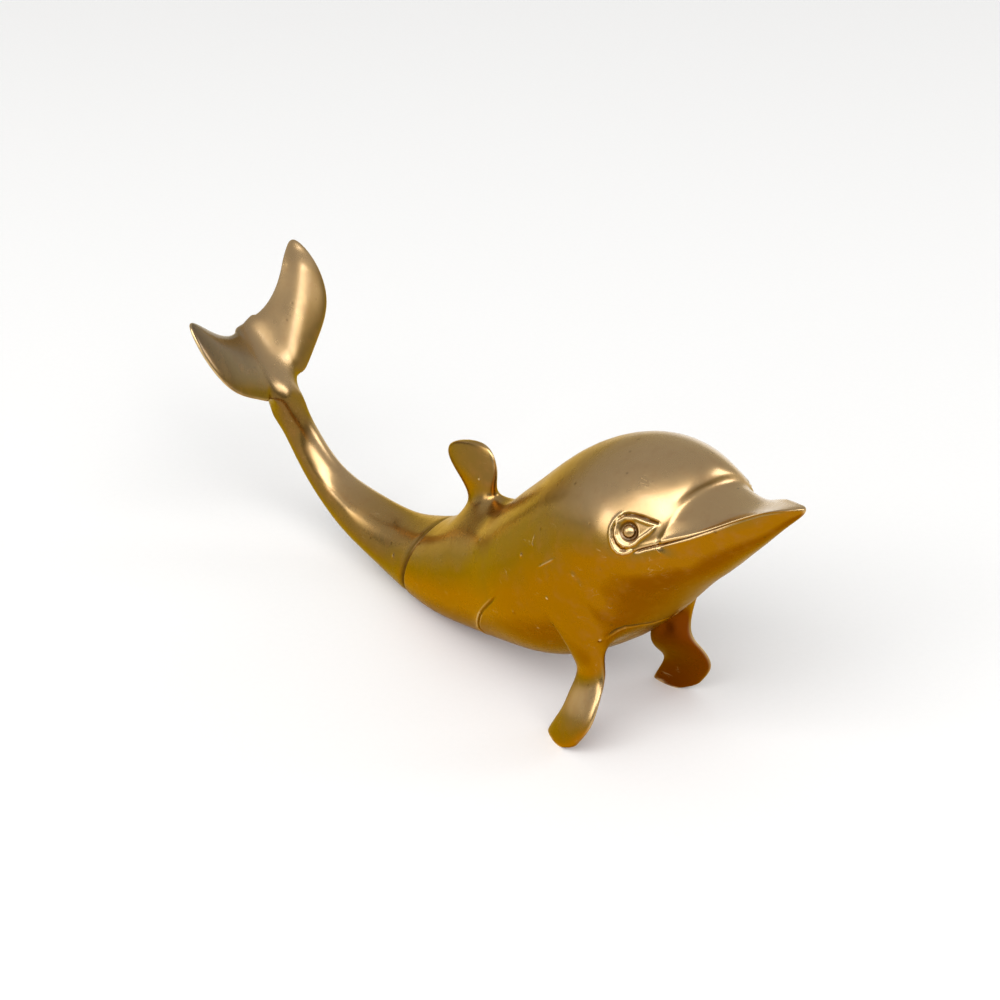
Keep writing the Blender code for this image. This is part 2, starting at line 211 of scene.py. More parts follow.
# Eye: its middle on the right side, and lines in millimetres ahead of it and above it
EYE_PLACE = (0.06096, -0.01293, 0.04825)
EYE_REACH = 0.0052
EYE_LID = (
    (4.7, 0.4), (3.1, 1.1), (1.5, 1.9), (-0.4, 2.25), (-1.7, 1.7), (-2.2, 0.8), (-2.35, -0.3),
    (-2.0, -1.4), (-1.2, -2.15), (-0.2, -2.35), (0.7, -2.05), (1.8, -1.3), (3.4, -0.55), (4.7, 0.3),
)
EYE_RIM = (
    (-0.6, 3.0), (-1.4, 2.65), (-2.2, 2.1), (-2.9, 1.1), (-3.25, -0.1), (-3.3, -1.3), (-3.1, -2.4),
    (-2.5, -3.2), (-1.7, -3.5), (-0.7, -3.4), (0.3, -3.0),
)
BROW_LINE = ((-1.6, 2.25), (-0.6, 2.75), (0.4, 2.8), (1.4, 2.5), (2.7, 2.0), (4.4, 1.1), (5.3, 0.6))
EYE_GAP = ((-2.1, 1.5), (-2.75, 0.5), (-2.85, -0.7), (-2.6, -1.8), (-1.9, -2.75), (-0.9, -2.95))
# The eye's strokes: line, height and width
EYE_STROKES = (
    (EYE_LID, 0.00022, 0.00030), (EYE_RIM, 0.00026, 0.00034),
    (BROW_LINE, -0.00026, 0.00022), (EYE_GAP, -0.00022, 0.00022),
)
# The eye's pocket: depth, and the radii where it starts and where it is full
EYE_POCKET = (0.00040, 0.00185, 0.00125)
# The eye's ball: height and radius
EYE_BALL = (0.00062, 0.00104)

# Tints of the brass from what faces down, at 0, to what faces up, at 1: orange lacquer and brass,
# with painted shade darkening what faces down and a band on the shoulders
TINT_AND_SHADE_STOPS = (
    (0.14, "tarnish_and_shade"), (0.29, "deep_shade"), (0.37, "lacquer"), (0.47, "lacquer"), (0.59, "bronze_shade"),
    (0.69, "olive_shade"), (0.80, "brass"),
)
EDGE_TINT = (1.0, 0.79, 0.35, 1)
COAT_ROUGHNESS = 0.16
PIT_SCALE = 650.0
PIT_SHARE = 0.10
SCRATCH_SCALE = 110.0
BUMP_STRENGTH = 0.5
BUMP_DISTANCE = 0.00008

# The floor's greys, from dark to pale fibres, and how much it is lifted for the camera
FLOOR_GREYS = (0.90, 0.93)
FLOOR_LIFT = 0.04
CAMERA_TARGET = (0.01395, 0.0, 0.0289)
CAMERA_SENSOR = 36
LIGHT_TARGET = (0.02, 0.0, 0.03)
# Lights: name, azimuth and elevation in degrees, distance, size, brightness, colour
LIGHTS = (
    ("key_light", -48, 50, 1.6, (2.40, 1.00), 3.5, (1.0, 0.99, 0.97)),
    ("side_strip", -108, 16, 1.6, (0.80, 0.80), 2.8, (1.0, 0.99, 0.97)),
    ("far_strip", 63, 20, 1.6, (0.60, 0.50), 3.4, (1.0, 1.0, 1.0)),
)


class DolphinSizes(bpy.types.PropertyGroup):
    """Sizes of the casting that a user would change."""

    fin_thickness: bpy.props.FloatProperty(
        name="Fin thickness", description="Thickness of the dorsal fin at its base",
        default=0.0030, unit="LENGTH")
    flipper_toe_out: bpy.props.FloatProperty(
        name="Flipper toe-out", description="Turn of each flipper's tip away from straight ahead",
        default=radians(12.1), subtype="ANGLE")
    fluke_yaw: bpy.props.FloatProperty(
        name="Fluke yaw", description="Turn of the fluke to the figure's right",
        default=radians(28.9), subtype="ANGLE")
    fluke_pitch: bpy.props.FloatProperty(
        name="Fluke pitch", description="Rise of the fluke's middle line",
        default=radians(58.4), subtype="ANGLE")
    fluke_chord: bpy.props.FloatProperty(
        name="Fluke chord", description="Length of the fluke along its middle line",
        default=0.0182, unit="LENGTH")
    fluke_half_span: bpy.props.FloatProperty(
        name="Fluke half span", description="Reach of each lobe to the side",
        default=0.0211, unit="LENGTH")
    fluke_rise: bpy.props.FloatProperty(
        name="Fluke rise", description="How far the tips of the lobes rise out of the fluke",
        default=0.0062, unit="LENGTH")
    fluke_thickness: bpy.props.FloatProperty(
        name="Fluke thickness", description="Thickness of a lobe near its root",
        default=0.0024, unit="LENGTH")
    relief: bpy.props.FloatProperty(
        name="Relief", description="Height or depth of the carving at full weight",
        default=0.0006, unit="LENGTH")
    detail: bpy.props.FloatProperty(
        name="Detail", description="Length of a face's side in the carving",
        default=0.00013, unit="LENGTH")
    lip_crease: bpy.props.FloatProperty(
        name="Lip crease", description="Sharpness of the lips", default=0.55, min=0, max=1)
    brow_crease: bpy.props.FloatProperty(
        name="Brow crease", description="Sharpness of the fold in front of the melon",
        default=0.85, min=0, max=1)


class DolphinFinish(bpy.types.PropertyGroup):
    """Colours and gloss of the brass."""

    brass: bpy.props.FloatVectorProperty(
        name="Brass", description="Colour of the dull brass on the back",
        default=(0.47, 0.290, 0.105), subtype="COLOR", min=0, max=1)
    # Brass kept bright by hands, and a painted highlight on the upward faces of the head and tail
    rubbed_and_highlight: bpy.props.FloatVectorProperty(
        name="Rubbed", description="Colour of the brass that hands have kept bright",
        default=(0.60, 0.390, 0.175), subtype="COLOR", min=0, max=1)
    edges: bpy.props.FloatVectorProperty(
        name="Edges", description="Colour of the edges that are worn bright",
        default=(0.78, 0.56, 0.28), subtype="COLOR", min=0, max=1)
    # Painted shade: the darker olive band on the shoulders
    olive_shade: bpy.props.FloatVectorProperty(
        name="Olive", description="Colour of the tarnish on the shoulders",
        default=(0.23, 0.140, 0.042), subtype="COLOR", min=0, max=1)
    # Painted shade: brown lacquer darkened in the band between the flanks and the shoulders
    bronze_shade: bpy.props.FloatVectorProperty(
        name="Bronze", description="Colour of the thin brown lacquer",
        default=(0.24, 0.125, 0.012), subtype="COLOR", min=0, max=1)
    lacquer: bpy.props.FloatVectorProperty(
        name="Lacquer", description="Colour of the orange lacquer on the flanks",
        default=(0.35, 0.140, 0.002), subtype="COLOR", min=0, max=1)
    # Painted shade: the lacquer under the jaw, darkened
    deep_shade: bpy.props.FloatVectorProperty(
        name="Deep", description="Colour of the thick lacquer under the jaw",
        default=(0.23, 0.070, 0.001), subtype="COLOR", min=0, max=1)
    # Tarnish and painted shade: darkens what faces down, and under the jaw and inside the flippers
    tarnish_and_shade: bpy.props.FloatVectorProperty(
        name="Tarnish", description="Colour of the underside",
        default=(0.17, 0.034, 0.001), subtype="COLOR", min=0, max=1)
    # Duller brass and painted shade: darkens the side faces of the tail and the fin
    tail: bpy.props.FloatVectorProperty(
        name="Tail", description="Colour of the duller brass of the tail's flanks and the fin",
        default=(0.200, 0.116, 0.030), subtype="COLOR", min=0, max=1)
    # Painted shade: darkens the right lobe of the fluke
    lobe_shade: bpy.props.FloatVectorProperty(
        name="Smoke", description="Colour of the dark film on the right lobe of the fluke",
        default=(0.130, 0.078, 0.032), subtype="COLOR", min=0, max=1)
    copper: bpy.props.FloatVectorProperty(
        name="Copper", description="Colour of the copper-red blotches",
        default=(0.38, 0.165, 0.050), subtype="COLOR", min=0, max=1)
    # Dirt and painted shade: the brown in the carving, the hollows and the pits
    dirt_and_shade: bpy.props.FloatVectorProperty(
        name="Dirt", description="Colour of the brown left in the hollows",
        default=(0.11, 0.050, 0.010), subtype="COLOR", min=0, max=1)
    roughness: bpy.props.FloatProperty(
        name="Roughness", description="Roughness of the satin surface", default=0.27, min=0, max=1)


class DolphinStage(bpy.types.PropertyGroup):
    """The floor, the lights and the camera."""

    surround: bpy.props.FloatProperty(
        name="Surround", description="Brightness of the plain grey surround", default=0.45, min=0)
    floor_size: bpy.props.FloatProperty(
        name="Floor size", description="Side of the floor", default=4.0, unit="LENGTH")
    lens: bpy.props.FloatProperty(
        name="Lens", description="Focal length of the camera", default=79.2)
    distance: bpy.props.FloatProperty(
        name="Camera distance", description="Distance from the camera to its target",
        default=0.396, unit="LENGTH")
    azimuth: bpy.props.FloatProperty(
        name="Camera azimuth", description="Turn of the camera to the figure's right",
        default=radians(40), subtype="ANGLE")
    elevation: bpy.props.FloatProperty(
        name="Camera elevation", description="Height of the camera as an angle over the floor",
        default=radians(29.5), subtype="ANGLE")


def alone(thing):
    """Select one object and nothing else."""
    bpy.ops.object.select_all(action="DESELECT")
    thing.select_set(True)
    bpy.context.view_layer.objects.active = thing


def finish_modifiers(thing):
    """Apply every modifier of an object."""
    alone(thing)
    for modifier in list(thing.modifiers):
        bpy.ops.object.modifier_apply(modifier=modifier.name)


def cage_mesh():
    """The mesh in edit mode."""
    return bmesh.from_edit_mesh(bpy.context.edit_object.data)


def select_corners(places):
    """Select the corners at these places, and the faces between them."""
    bpy.ops.mesh.select_all(action="DESELECT")
    cage = cage_mesh()
    for place in places:
        corner = min(cage.verts, key=lambda vert: (vert.co - place).length)
        corner.select = True
    cage.select_flush(True)


def move_corner(number, place):
    """Take one corner to its place."""
    bpy.ops.mesh.select_all(action="DESELECT")
    cage = cage_mesh()
    cage.verts.ensure_lookup_table()
    corner = cage.verts[number]
    corner.select = True
    cage.select_flush(True)
    bpy.ops.transform.translate(value=place - corner.co)


def draw_out(corners, places):
    """Extrude the faces between some corners and take each new corner to its place."""
    select_corners(corners.values())
    bpy.ops.mesh.extrude_region()
    cage = cage_mesh()
    cage.verts.index_update()
    fresh = [vert for vert in cage.verts if vert.select]
    numbers = {key: min(fresh, key=lambda vert: (vert.co - corner).length).index
               for key, corner in corners.items()}
    for key, place in places.items():
        move_corner(numbers[key], place)


def ring_place(centre, up, side, rise, width, step):
    """A corner of a ring. Steps count from the figure's left over its back."""
    angle = 2 * pi * step / RING_SIDES
    return centre + side * (width * cos(angle)) + up * (rise * sin(angle))


def body_centres():
    """The middles of the body's rings."""
    return [Vector((x, y, keel + radius)) for x, y, keel, radius in BODY_RINGS]


def body_frame(number):
    """The forward, left and upward directions of a ring of the body."""
    centres = body_centres()
    before = centres[max(number - 1, 0)]
    after = centres[min(number + 1, len(centres) - 1)]
    forward = (after - before).normalized()
    left = Vector((0, 0, 1)).cross(forward).normalized()
    return forward, left, forward.cross(left)


def body_places():
    """The rings from the tail stock to the nape."""
    places = []
    for number, centre in enumerate(body_centres()):
        forward, left, up = body_frame(number)
        radius = BODY_RINGS[number][3] / RING_SHARE
        places.append([ring_place(centre, up, left, radius, radius, step)
                       for step in range(RING_SIDES)])
    return places


def head_places():
    """The rings from the nape to the tip of the beak."""
    places = []
    for back, side, keel, fullness in HEAD_RINGS:
        middle = Vector((side[0], 0, side[2]))
        out = Vector((0, side[1], 0)) / RING_SHARE
        rise = (Vector((back[0], 0, back[1])) - middle) / RING_SHARE
        drop = (Vector((keel[0], 0, keel[1])) - middle) / RING_SHARE
        places.append([
            middle + out,
            middle + (rise + out) * fullness,
            middle + rise,
            middle + (rise - out) * fullness,
            middle - out,
            middle + (drop - out) * JAW_FULLNESS,
            middle + drop,
            middle + (drop + out) * JAW_FULLNESS,
        ])
    return places


def fluke_frame(sizes):
    """The fluke's own directions: along its middle line, to its left lobe, out of its back."""
    yaw = sizes.fluke_yaw
    pitch = sizes.fluke_pitch
    along = Vector((-cos(pitch) * cos(yaw), -cos(pitch) * sin(yaw), sin(pitch)))
    left = Vector((-sin(yaw), cos(yaw), 0))
    return along, left, left.cross(along).normalized()


def fluke_rise(sizes, span_share):
    """How far the lobes have risen over the middle line at a share of the half span."""
    return sizes.fluke_rise * abs(span_share) ** FLUKE_RISE_POWER


def fluke_places(sizes):
    """The flat rings along the fluke's middle line."""
    along, left, out = fluke_frame(sizes)
    places = []
    for share, width, rise in FLUKE_RINGS:
        centre = body_centres()[0] + along * (sizes.fluke_chord * share)
        ring = [ring_place(centre, out, left, rise / RING_SHARE, width / RING_SHARE, step)
                for step in range(RING_SIDES)]
        places.append([
            place + out * fluke_rise(sizes, (place - centre).dot(left) / sizes.fluke_half_span)
            for place in ring])
    return places


def draw_body(sizes):
    """Draw the closed body out of the tip of the beak, ring by ring. Returns the rings."""
    rings = list(reversed(head_places())) + list(reversed(body_places())) + fluke_places(sizes)
    tip = sum(rings[0], Vector()) / RING_SIDES
    bpy.ops.mesh.primitive_circle_add(
        vertices=RING_SIDES, radius=TIP_RADIUS, fill_type="NGON", location=tip,
        rotation=(pi / 2, 0, pi / 2))
    bpy.context.object.name = "dolphin_casting"
    bpy.ops.object.transform_apply(location=True, rotation=True, scale=True)
    bpy.ops.object.mode_set(mode="EDIT")
    bpy.ops.mesh.select_mode(type="VERT")
    cage = cage_mesh()
    cage.verts.index_update()
    order = {}
    for step, place in enumerate(rings[0]):
        ideal = ring_place(tip, Vector((0, 0, 1)), Vector((0, 1, 0)),
                           TIP_RADIUS, TIP_RADIUS, step)
        order[step] = min(cage.verts, key=lambda vert: (vert.co - ideal).length).index
    for step, number in order.items():
        move_corner(number, rings[0][step])
    for before, after in zip(rings, rings[1:]):
        draw_out(dict(enumerate(before)), dict(enumerate(after)))
    return rings


def body_ring(rings, number):
    """One of the body's rings, counted from the tail stock."""
    return rings[len(HEAD_RINGS) + len(BODY_RINGS) - 1 - number]


def side_patch(lead, trail, middle, upper, lower):
    """The corners of two neighbouring faces between two rings, by name."""
    return {(end, name): ring[step] for end, ring in (("lead", lead), ("trail", trail))
            for name, step in (("middle", middle), ("upper", upper), ("lower", lower))}


def section(leading, trailing, thickness):
    """A leaf-shaped section: two edges and two points on each face. thickness is a vector."""
    places = {("lead", "middle"): leading, ("trail", "middle"): trailing}
    for end, share in (("lead", LEADING_SHARE), ("trail", TRAILING_SHARE)):
        point = leading.lerp(trailing, share)
        places[end, "upper"] = point + thickness / 2
        places[end, "lower"] = point - thickness / 2
    return places


def draw_limb(corners, sections):
    """Draw a fin or a lobe out of a side patch, section by section."""
    for places in sections:
        draw_out(corners, places)
        corners = places


def draw_fin(rings, sizes):
    """The dorsal fin."""
    corners = side_patch(body_ring(rings, FIN_RING + 1), body_ring(rings, FIN_RING), 2, 1, 3)
    draw_limb(corners, [
        section(Vector((lead[0], 0, lead[1])), Vector((trail[0], 0, trail[1])),
                Vector((0, sizes.fin_thickness * share, 0)))
        for lead, trail, share in FIN_SECTIONS])


def draw_flipper(rings, side, sizes):
    """A flipper: side is 1 on the left and -1 on the right."""
    middle, outer = (7, 0) if side > 0 else (5, 4)
    corners = side_patch(body_ring(rings, FLIPPER_RING + 1), body_ring(rings, FLIPPER_RING),
                         middle, outer, 6)
    toe = sizes.flipper_toe_out
    sections = []
    for (x, y, z), chord, thickness, tilt in FLIPPER_SECTIONS:
        lean = radians(tilt)
        along = Vector((cos(lean) * cos(toe), side * cos(lean) * sin(toe), sin(lean)))
        out = Vector((0, side, 0))
        out = (out - along * out.dot(along)).normalized()
        centre = Vector((x, side * y, z))
        sections.append(section(centre + along * chord / 2, centre - along * chord / 2,
                                out * thickness))
    draw_limb(corners, sections)


def draw_lobe(rings, side, sizes):
    """A lobe of the fluke: side is 1 on the left and -1 on the right."""
    middle, upper, lower = (0, 1, 7) if side > 0 else (4, 3, 5)
    along, left, out = fluke_frame(sizes)

    def place(chord_share, span_share):
        return (body_centres()[0] + along * (sizes.fluke_chord * chord_share)
                + left * (side * sizes.fluke_half_span * span_share)
                + out * fluke_rise(sizes, span_share))

    draw_limb(side_patch(rings[-2], rings[-1], middle, upper, lower), [
        section(place(*lead), place(*trail), out * (sizes.fluke_thickness * share))
        for lead, trail, share in FLUKE_SECTIONS])


def crease_edge(one, other, amount):
    """Sharpen the edge between two corners."""
    select_corners((one, other))
    bpy.ops.transform.edge_crease(value=amount)


def cast_figure(sizes):
    """The casting's rounded form, and its finer surface to lay new points on."""
    bpy.ops.object.select_all(action="DESELECT")
    rings = draw_body(sizes)
    draw_fin(rings, sizes)
    for side in (1, -1):
        draw_flipper(rings, side, sizes)
        draw_lobe(rings, side, sizes)
    beak = rings[:len(HEAD_RINGS) - FOLD_RING + 1]
    for step in (0, 4):
        for front, behind in zip(beak, beak[1:]):
            crease_edge(front[step], behind[step], sizes.lip_crease)
    fold = rings[len(HEAD_RINGS) - 1 - FOLD_RING]
    for step in (0, 1, 2, 3):
        crease_edge(fold[step], fold[step + 1], sizes.brow_crease)
    bpy.ops.mesh.select_all(action="SELECT")
    bpy.ops.mesh.normals_make_consistent(inside=False)
    bpy.ops.object.mode_set(mode="OBJECT")
    figure = bpy.context.object
    rounding = figure.modifiers.new("rounding", "SUBSURF")
    rounding.levels = rounding.render_levels = FINE_LEVEL
    bpy.context.view_layer.update()
    fine = BVHTree.FromObject(figure, bpy.context.evaluated_depsgraph_get())
    rounding.levels = rounding.render_levels = BASE_LEVEL
    finish_modifiers(figure)
    return figure, fine


def mirrored(line, side):
    """Points of the right side, or the same points on the left."""
    return [Vector((x, -side * y, z)) for x, y, z in line]


def eye_frame(fine, side):
    """The middle of an eye and the directions ahead of it and above it."""
    place, facing = fine.find_nearest(mirrored((EYE_PLACE,), side)[0])[:2]
    tip = HEAD_RINGS[-1][1]
    ahead = Vector((tip[0], 0, tip[2])) - place
    ahead = (ahead - facing * ahead.dot(facing)).normalized()
    return place, ahead, facing.cross(ahead) * -side


def eye_line(fine, side, line):
    """A line of the eye, laid on the surface."""
    place, ahead, above = eye_frame(fine, side)
    return [fine.find_nearest(place + (ahead * out + above * up) / 1000)[0] for out, up in line]


def way_to_line(points, line):
    """Each point's distance to a line, and how far along the line it is, from 0 to 1."""
    line = np.array([tuple(place) for place in line])
    steps = np.linalg.norm(np.diff(line, axis=0), axis=1)
    start = np.concatenate(([0], np.cumsum(steps)))
    nearest = np.full(len(points), 1.0)
    along = np.zeros(len(points))
    for number, (one, other) in enumerate(zip(line, line[1:])):
        span = other - one
        share = np.clip((points - one) @ span / (span @ span), 0, 1)
        distance = np.linalg.norm(points - one - share[:, None] * span, axis=1)
        closer = distance < nearest
        nearest[closer] = distance[closer]
        along[closer] = (start[number] + share[closer] * steps[number]) / start[-1]
    return nearest, along


def ramp(value, low, high):
    """A smooth step from 0 at low to 1 at high."""
    share = np.clip((value - low) / (high - low), 0, 1)
    return share * share * (3 - 2 * share)


def stroke(points, line, width, fade=0.12):
    """A soft stroke along a line that fades out at both ends."""
    distance, along = way_to_line(points, line)
    return np.exp(-(distance / width) ** 2) * ramp(np.minimum(along, 1 - along), -0.02, fade)


def seam_distance(points):
    """Each point's signed distance to the seam's plane, 1 away from the seam's place."""
    ahead = np.array((cos(radians(SEAM_LEAN)), 0, -sin(radians(SEAM_LEAN))))
    away = points - np.array(SEAM_PLACE)
    distance = away @ ahead
    distance[np.linalg.norm(away, axis=1) > SEAM_REACH] = 1
    return distance


def fine_reach(fine, points):
    """Each point's distance to the nearest carving."""
    reach = np.abs(seam_distance(points))
    for place, radius in LUMPS:
        away = np.linalg.norm(points - np.array(place), axis=1)
        reach = np.minimum(reach, np.maximum(away - radius, 0))
    for line in SCRATCH_LINES:
        reach = np.minimum(reach, way_to_line(points, line)[0])
    for side in (1, -1):
        for line in (MOUTH_LINE, THROAT_LINE, FLANK_LINE):
            reach = np.minimum(reach, way_to_line(points, mirrored(line, side))[0])
        eye = np.array(eye_frame(fine, side)[0])
        reach = np.minimum(reach, np.linalg.norm(points - eye, axis=1) - EYE_REACH)
    return reach


def refine(figure, fine, sizes):
    """Divide the faces near the carving and lay the new corners on the finer surface."""
    alone(figure)
    bpy.ops.object.mode_set(mode="EDIT")
    bpy.ops.mesh.select_mode(type="FACE")
    for reach in DIVIDED_REACHES:
        bpy.ops.mesh.select_all(action="DESELECT")
        cage = cage_mesh()
        faces = list(cage.faces)
        middles = np.array([tuple(face.calc_center_median()) for face in faces])
        near = (fine_reach(fine, middles) < reach) & (middles[:, 2] > FLAT_HEIGHT)
        for face, is_near in zip(faces, near):
            if is_near and max(edge.calc_length() for edge in face.edges) > 1.5 * sizes.detail:
                face.select = True
        cage.select_flush_mode()
        before = len(cage.verts)
        bpy.ops.mesh.subdivide(number_cuts=1, ngon=False, quadcorner="INNERVERT")
        cage = cage_mesh()
        cage.verts.ensure_lookup_table()
        for number in range(before, len(cage.verts)):
            corner = cage.verts[number]
            if corner.co.z > FLAT_HEIGHT:
                corner.co = fine.find_nearest(corner.co)[0]
                corner.co.z = max(corner.co.z, FLAT_HEIGHT)
    bmesh.update_edit_mesh(bpy.context.edit_object.data)
    bpy.ops.object.mode_set(mode="OBJECT")


def carving(fine, points, normals):
    """The height of the carving at each point, in metres: raised above 0 and cut below it."""
    height = np.zeros(len(points))
    facing = ramp(normals @ np.array(TAIL_FACING), -0.1, 0.5)
    for line, rise, width in TAIL_STROKES:
        height += rise * facing * stroke(points, line, width)
    for place, radius in LUMPS:
        reach = np.linalg.norm(points - np.array(place), axis=1)
        height += LUMP_HEIGHT * np.exp(-(reach / radius) ** 2)
    rise, width, fade = SCRATCH_STROKE
    for line in SCRATCH_LINES:
        height += rise * stroke(points, line, width, fade)
    seam = seam_distance(points)
    depth, width, wider, above, below = SEAM_GROOVE
    height -= depth * np.exp(-(seam / (width + wider * ramp(points[:, 2], above, below))) ** 2)
    depth, behind, width = SEAM_DIP
    height -= depth * np.exp(-((seam + behind) / width) ** 2)
    for side in (1, -1):
        mouth, along = way_to_line(points, mirrored(MOUTH_LINE, side))
        rear = ramp(along, 0.75, 0.35)
        ends = ramp(along, 0, 0.06) * ramp(along, 1, 0.93)
        height -= (0.00012 + 0.00018 * rear) * ends * np.exp(-(mouth / 0.00022) ** 2)
        for line, shift, rise, width, fade in SIDE_STROKES:
            shift = mirrored((shift,), side)[0]
            line = [place + shift for place in mirrored(line, side)]
            height += rise * stroke(points, line, width, fade)
        height += eye_carving(fine, side, points)
    return height * ramp(points[:, 2], 0.0005, 0.0015)


def eye_carving(fine, side, points):
    """The carving of one eye: a ball in a round pocket, its lids and the fold round them."""
    eye = np.linalg.norm(points - np.array(eye_frame(fine, side)[0]), axis=1)
    depth, start, full = EYE_POCKET
    height = -depth * ramp(eye, start, full)
    rise, radius = EYE_BALL
    height += rise * np.sqrt(np.clip(1 - (eye / radius) ** 2, 0, 1))
    for line, amount, width in EYE_STROKES:
        height += amount * stroke(points, eye_line(fine, side, line), width, 0.05)
    return height


def mesh_points(figure):
    """The corners of a mesh as an array."""
    points = np.empty(len(figure.data.vertices) * 3)
    figure.data.vertices.foreach_get("co", points)
    return points.reshape(-1, 3)


def mesh_normals(figure):
    """The directions in which a mesh's corners face."""
    return np.array([tuple(item.vector) for item in figure.data.vertex_normals])


def note(figure, name, value):
    """Keep a number for each corner of a mesh."""
    figure.data.attributes.new(name, "FLOAT", "POINT").data.foreach_set("value", value)


def carve(figure, fine, sizes):
    """Cut and raise the carving with weights and displacement."""
    height = carving(fine, mesh_points(figure), mesh_normals(figure))
    note(figure, "recess", ramp(-height, 0.00004, 0.00024))
    for name, sign in (("raised", 1), ("cut", -1)):
        group = figure.vertex_groups.new(name=name)
        weights = np.clip(sign * height / sizes.relief, 0, 1)
        for number in np.nonzero(weights > 0.002)[0]:
            group.add([int(number)], float(weights[number]), "REPLACE")
        press = figure.modifiers.new(name, "DISPLACE")
        press.vertex_group = name
        press.direction = "NORMAL"
        press.mid_level = 0
        press.strength = sign * sizes.relief
    finish_modifiers(figure)
    figure.vertex_groups.clear()


def soften(figure):
    """Smooth the folds where the form pinches."""
    alone(figure)
    points = mesh_points(figure)
    bpy.ops.object.mode_set(mode="EDIT")
    bpy.ops.mesh.select_mode(type="VERT")
    for line, reach, passes, sides in SMOOTH_PLACES:
        near = np.min([way_to_line(points, mirrored(line, side))[0] for side in sides],
                      axis=0) < reach
        bpy.ops.mesh.select_all(action="DESELECT")
        cage = cage_mesh()
        for corner, is_near in zip(cage.verts, near):
            corner.select = bool(is_near)
        cage.select_flush_mode()
        bpy.ops.mesh.vertices_smooth(factor=0.5, repeat=passes)
    bpy.ops.object.mode_set(mode="OBJECT")


def note_wear(figure):
    """Keep how convex and hollow the surface is at each corner, for the finish, and where it is
    sheltered, for painted shade under the jaw and inside the flippers.
    """
    mesh = figure.data
    points = mesh_points(figure)
    normals = mesh_normals(figure)
    ends = np.empty(len(mesh.edges) * 2, dtype=np.int32)
    mesh.edges.foreach_get("vertices", ends)
    one, other = ends.reshape(-1, 2).T
    span = points[other] - points[one]
    length = np.maximum((span ** 2).sum(axis=1), 1e-12)
    bend = ((normals[other] - normals[one]) * span).sum(axis=1) / length
    count = len(points)
    uses = np.maximum(np.bincount(one, minlength=count) + np.bincount(other, minlength=count), 1)
    level = (np.bincount(one, bend, count) + np.bincount(other, bend, count)) / uses
    for _ in range(2):
        around = np.bincount(one, level[other], count) + np.bincount(other, level[one], count)
        level = (level + around / uses) / 2
    x, y, z = points.T
    inward = -normals[:, 1] * np.sign(y)
    under = np.maximum(ramp(inward, -0.1, 0.4), ramp(-normals[:, 2], 0.5, 0.9))
    recess = np.empty(count)
    mesh.attributes["recess"].data.foreach_get("value", recess)
    note(figure, "wear", ramp(level, 300, 1500) * (1 - recess))
    note(figure, "hollow", ramp(-level, 500, 2500))
    # Painted shade: under the jaw and on the inner faces of the flippers
    note(figure, "shelter", under * ramp(x, 0.036, 0.044) * ramp(z, 0.031, 0.023))


def flatten_feet(figure):
    """Grind flat what would stand under the floor."""
    alone(figure)
    bpy.ops.object.mode_set(mode="EDIT")
    bpy.ops.mesh.select_all(action="SELECT")
    bpy.ops.mesh.bisect(plane_co=(0, 0, 0), plane_no=(0, 0, 1), use_fill=True, clear_inner=True,
                        threshold=CUT_CLOSENESS)
    bpy.ops.object.mode_set(mode="OBJECT")


def new_group(name, inputs, outputs):
    """An empty shader node group with plain number, colour or vector sockets."""
    group = bpy.data.node_groups.new(name, "ShaderNodeTree")
    for label, kind, value in inputs:
        socket = group.interface.new_socket(label, in_out="INPUT", socket_type=kind)
        if value is not None:
            socket.default_value = value
    for label, kind in outputs:
        group.interface.new_socket(label, in_out="OUTPUT", socket_type=kind)
    entry = group.nodes.new("NodeGroupInput")
    leave = group.nodes.new("NodeGroupOutput")
    return group, entry, leave


def feed(tree, socket, value):
    """Link a socket to another, or give it a number or a colour."""
    if isinstance(value, bpy.types.NodeSocket):
        tree.links.new(value, socket)
    else:
        socket.default_value = (*value, 1) if isinstance(value, tuple) else value


def calculate(tree, operation, *values):
    """A math node fed by sockets or numbers. Returns its result."""
    node = tree.nodes.new("ShaderNodeMath")
    node.operation = operation
    for socket, value in zip(node.inputs, values):
        feed(tree, socket, value)
    return node.outputs[0]


def spread(tree, value, low, high, start=0.0, end=1.0):
    """A smooth map range node. Returns its result."""
    node = tree.nodes.new("ShaderNodeMapRange")
    node.interpolation_type = "SMOOTHSTEP"
    node.inputs["From Min"].default_value = low
    node.inputs["From Max"].default_value = high
    node.inputs["To Min"].default_value = start
    node.inputs["To Max"].default_value = end
    tree.links.new(value, node.inputs["Value"])
    return node.outputs["Result"]


def noise(tree, vector, scale, detail=4.0, roughness=0.55, distortion=0.0):
    """A noise texture. Returns its grey output."""
    node = tree.nodes.new("ShaderNodeTexNoise")
    node.inputs["Scale"].default_value = scale
    node.inputs["Detail"].default_value = detail
    node.inputs["Roughness"].default_value = roughness
    node.inputs["Distortion"].default_value = distortion
    tree.links.new(vector, node.inputs["Vector"])
    return node.outputs["Fac"]


def times(tree, one, other):
    """The product of two values."""
    return calculate(tree, "MULTIPLY", one, other)


def greater(tree, one, other):
    """The greater of two values."""
    return calculate(tree, "MAXIMUM", one, other)


def blend_colours(tree, factor, one, other):
    """Blend two colours. Returns the result."""
    node = tree.nodes.new("ShaderNodeMix")
    node.data_type = "RGBA"
    colours = [item for item in node.inputs if item.type == "RGBA"]
    for socket, value in zip([node.inputs[0], *colours], (factor, one, other)):
        feed(tree, socket, value)
    return next(item for item in node.outputs if item.type == "RGBA")


def axes(tree, vector):
    """The X, Y and Z of a vector, by name."""
    node = tree.nodes.new("ShaderNodeSeparateXYZ")
    tree.links.new(vector, node.inputs[0])
    return node.outputs


